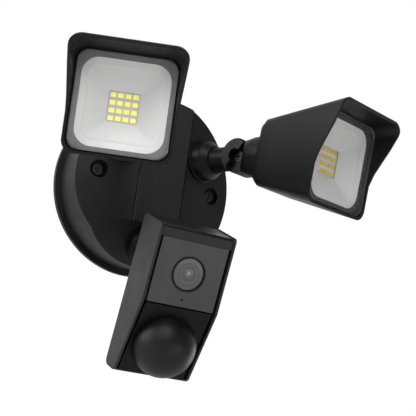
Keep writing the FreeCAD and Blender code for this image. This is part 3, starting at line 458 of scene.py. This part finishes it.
def rounded_square(half, corner, arc=10, side=6):
    """Points round a square with rounded corners, as (x, z), from its right side up."""
    points = []
    inner = half - corner
    for quarter in range(4):
        centre = Vector(((1, 1), (-1, 1), (-1, -1), (1, -1))[quarter]) * inner
        for step in range(arc + 1):
            angle = math.pi / 2 * (quarter + step / arc)
            points.append(centre + Vector((math.cos(angle), math.sin(angle))) * corner)
        start = points[-1]
        goal_angle = math.pi / 2 * (quarter + 1)
        goal_centre = Vector(((1, 1), (-1, 1), (-1, -1), (1, -1))[(quarter + 1) % 4]) * inner
        goal = goal_centre + Vector((math.cos(goal_angle), math.sin(goal_angle))) * corner
        for step in range(1, side):
            points.append(start.lerp(goal, step / side))
    return points


def ring_at(y, half, corner):
    return [Vector((point.x, y, point.y)) for point in rounded_square(half, corner)]


# ---- flood lamps -------------------------------------------------------------------------------

LAMP_BACK = 61.0
LAMP_TIP = 19.6
REAR_HALF = 24.4
TIP_HALF = 39.3
HOOD_LOW = -7.0
HOOD_LIP = 2.6
HOOD_FULL = 0.86
LAMP_WALL = 2.0
LAMP_CORNER = 8.5
CORNER_HALF = 36.0
GLASS_THICK = 1.6
TRAY_FLOOR = 11.4


def lamp_half(y):
    """Half the width of the lamp's outside at a depth behind the glass's face."""
    return REAR_HALF + (TIP_HALF - REAR_HALF) * (LAMP_BACK - y) / (LAMP_BACK + LAMP_TIP)


def hood_reach(level):
    """How far forward of the glass the hood stands, at a level from -1 (bottom) to 1 (top)."""
    start = HOOD_LOW / lamp_half(0)
    if level < start:
        return HOOD_LIP
    share = min(1.0, (level - start) / (HOOD_FULL - start))
    rise = share * share * (3 - 2 * share)
    return HOOD_LIP + (LAMP_TIP - HOOD_LIP) * (0.7 * share + 0.3 * rise)


def lamp_shell(arm):
    """The lamp's box and its hood in one skin, outside and inside."""
    def ring(share, wall):
        """One ring: share 0 is the rear, 1 the glass's plane and 2 the hood's rim."""
        points = []
        for flat in rounded_square(1.0, LAMP_CORNER / CORNER_HALF):
            if share <= 1:
                y = LAMP_BACK * (1 - share)
            else:
                y = -hood_reach(flat.y) * (share - 1)
            half = lamp_half(y) - wall
            points.append(Vector((flat.x * half, y, flat.y * half)))
        return points

    rear = [ring_at(LAMP_BACK - drop, lamp_half(LAMP_BACK) - inset, max(LAMP_CORNER - inset, 3.0))
            for drop, inset in ((0, 12.0), (0, 4.4), (0.35, 2.5), (1.3, 1.0), (2.6, 0.25))]
    outside = [ring(share, 0.0) for share in (0.09, 0.3, 0.5, 0.7, 0.85, 1.0, 1.3, 1.6, 1.9)]
    rim = [ring(1.985, 0.05), ring(2.0, 0.55), ring(2.0, LAMP_WALL - 0.55),
           ring(1.985, LAMP_WALL - 0.05)]
    inside = [ring(share, LAMP_WALL) for share in (1.9, 1.5, 1.05, 0.95)]
    inside.append(ring(0.94, LAMP_WALL + 4))
    mesh = skinned(f"{arm}_lamp_shell", rear + outside + rim + inside, closed=False, cap_first=True)
    shade(mesh, 50.0)
    mesh.transform(Matrix.Scale(MM, 4))
    add_piece(f"{arm}_lamp_shell", mesh, "lamp_black", f"{arm}_lamp",
              f"{arm}_lamp_housing", lamp_frame(arm))


def reflector_tray(arm):
    """The white tray: a flat rim, a small step and a funnel down to the emitters."""
    front, floor = GLASS_THICK + 0.1, TRAY_FLOOR
    mouth, mouth_half, mouth_corner = front + 2.8, 24.2, 7.0
    floor_half, floor_corner = 10.3, 1.0
    rows = [(front + 1.2, 32.0, 5.5), (front, 32.0, 5.5), (front, 29.7, 10.0), (front + 0.15, 29.4, 9.8),
            (front + 0.9, 29.2, 9.6), (front + 1.1, 28.8, 9.4), (front + 1.5, 25.2, 7.6),
            (front + 1.7, 24.9, 7.4), (front + 2.5, 24.6, 7.2), (mouth, mouth_half, mouth_corner)]
    for step in range(1, 7):
        share = step / 6
        rows.append((mouth + (floor - mouth) * share,
                     mouth_half + (floor_half - mouth_half) * share,
                     mouth_corner + (floor_corner - mouth_corner) * share))
    outer = [(floor, 11.8, 3.0), (front + 4, 26.4, 7.0), (front + 1.2, 29.8, 8.0)]
    mesh = skinned(f"{arm}_reflector_tray", [ring_at(*row) for row in rows + outer])
    shade(mesh, 40.0)
    mesh.transform(Matrix.Scale(MM, 4))
    add_piece(f"{arm}_reflector_tray", mesh, f"{arm}_tray", f"{arm}_lamp",
              f"{arm}_reflector", lamp_frame(arm))


def glass_border(arm):
    """The black printed border behind the glass, with the seal that it hides; the left one's finish is
    grey, a painted reflection.
    """
    back = GLASS_THICK + 0.02
    rows = [(back, 33.3, 9.0), (back, 29.5, 11.6), (back + 0.06, 29.5, 11.6), (back + 0.06, 33.3, 9.0)]
    mesh = skinned(f"{arm}_glass_border", [ring_at(*row) for row in rows])
    shade(mesh)
    mesh.transform(Matrix.Scale(MM, 4))
    add_piece(f"{arm}_glass_border", mesh, f"{arm}_border", f"{arm}_lamp",
              f"{arm}_glass_gasket", lamp_frame(arm))


def bezel(arm):
    """The glossy lip round the glass."""
    outer = lamp_half(0) - LAMP_WALL - 0.1
    rows = [(0.3, outer, 6.8), (-0.5, outer, 6.8), (-1.7, outer - 0.2, 8.2), (-1.85, 33.2, 8.8),
            (-1.6, 33.0, 9.2), (0.0, 32.95, 9.2), (0.02, 33.2, 9.0)]
    mesh = skinned(f"{arm}_bezel_lip", [ring_at(*row) for row in rows])
    shade(mesh)
    mesh.transform(Matrix.Scale(MM, 4))
    add_piece(f"{arm}_bezel_lip", mesh, f"{arm}_bezel", f"{arm}_lamp",
              f"{arm}_lens_frame", lamp_frame(arm))


def emitters(arm):
    """Four by four emitters: low yellow blocks with softened front edges."""
    pitch = (5.03, 5.24)
    size = (3.85, 3.2)
    mesh = bpy.data.meshes.new(f"{arm}_emitters")
    build = bmesh.new()
    for column in range(4):
        for level in range(4):
            middle = Vector(((column - 1.5) * pitch[0], 0, (level - 1.5) * pitch[1]))
            rings = []
            for depth, inset in ((0.8, 0.0), (0.5, 0.0), (0.42, 0.12), (0.38, 0.5)):
                corners = [(1, 1), (-1, 1), (-1, -1), (1, -1)]
                across, up = size[0] / 2 - inset, size[1] / 2 - inset
                places = [Vector((sx * across, TRAY_FLOOR + depth, sz * up)) for sx, sz in corners]
                rings.append([build.verts.new(middle + place) for place in places])
            for low, high in zip(rings, rings[1:]):
                for n in range(4):
                    build.faces.new((low[n], low[(n + 1) % 4], high[(n + 1) % 4], high[n]))
            build.faces.new(rings[-1])
            build.faces.new(reversed(rings[0]))
    bmesh.ops.recalc_face_normals(build, faces=build.faces)
    build.to_mesh(mesh)
    build.free()
    mesh.transform(Matrix.Scale(MM, 4))
    add_piece(f"{arm}_emitters", mesh, f"{arm}_led", f"{arm}_lamp",
              f"{arm}_led_chips", lamp_frame(arm))


# ---- camera head -------------------------------------------------------------------------------

LENS_DROP = 22.8
PANEL_HALF = 25.8
PANEL_EDGE = 26.4


def narrow_panel(node, finish):
    """A panel of the head with rounded edges and a dark gap beside each cover."""
    source = frame["nodes"][node]
    mesh = source.data.copy()
    mesh.materials.clear()
    mesh.transform(head_frame().inverted() @ source.matrix_world)
    for corner in mesh.vertices:
        if abs(corner.co.x) > PANEL_EDGE * MM:
            corner.co.x = math.copysign(PANEL_HALF * MM, corner.co.x)
    piece = add_piece(f"{node}_face", mesh, finish, "camera_head", node,
                      head_frame())
    round_off(piece, 0.35 * MM)


def turned(name, rows, node, where, sides=96):
    """A piece of the lens, turned about the Y axis of a frame from (radius, y) rows."""
    loops = []
    for radius, y in rows:
        turns = [math.tau * n / sides for n in range(sides)]
        loops.append([Vector((radius * math.cos(turn), y, radius * math.sin(turn))) for turn in turns])
    mesh = skinned(name, loops, closed=False, cap_first=True, cap_last=True)
    shade(mesh, 30.0)
    mesh.transform(Matrix.Scale(MM, 4))
    add_piece(name, mesh, name, "camera_head", node, where)


def camera_lens():
    """The lens: a flat face with fine circles, a bulged glass in its middle with a painted coloured
    reflection on it, and a painted glint.
    """
    where = head_frame() @ Matrix.Translation(Vector((0, 0, -LENS_DROP)) * MM)
    face = [(11.1, 1.9), (11.45, 0.5), (11.2, 0.2), (8.05, 0.12), (7.95, 0.3), (7.75, 0.3),
            (7.65, 0.1), (5.15, 0.1), (5.05, 0.3), (4.85, 0.3), (0.1, 0.5)]
    iris = [(4.75, 0.5), (4.7, 0.2), (4.2, 0.02), (3.0, -0.08), (1.6, -0.14), (0.1, -0.16)]
    pupil = [(2.3, -0.05), (2.1, -0.18), (1.3, -0.26), (0.1, -0.28)]
    glint = [(1.25, -0.1), (1.15, -0.26), (0.7, -0.33), (0.1, -0.35)]
    pupil_place = where @ Matrix.Translation(Vector((0.1, 0, -0.1)) * MM)
    glint_place = where @ Matrix.Translation(Vector((-0.3, 0, 0.7)) * MM)
    turned("lens_face", face, "lens_window", where)
    turned("lens_iris", iris, None, where)
    # painted reflection: a paler yellowish disc over the middle of the glass
    turned("lens_pupil_reflection", pupil, None, pupil_place)
    # painted glint on the lens
    turned("lens_glint", glint, None, glint_place)


dress_nodes()
narrow_panel("camera_front_panel", "panel_gray")
narrow_panel("camera_lower_panel", "chin_black")
for lamp in LAMPS:
    lamp_shell(lamp)
    reflector_tray(lamp)
    glass_border(lamp)
    bezel(lamp)
    emitters(lamp)
camera_lens()
make_camera()
make_studio()
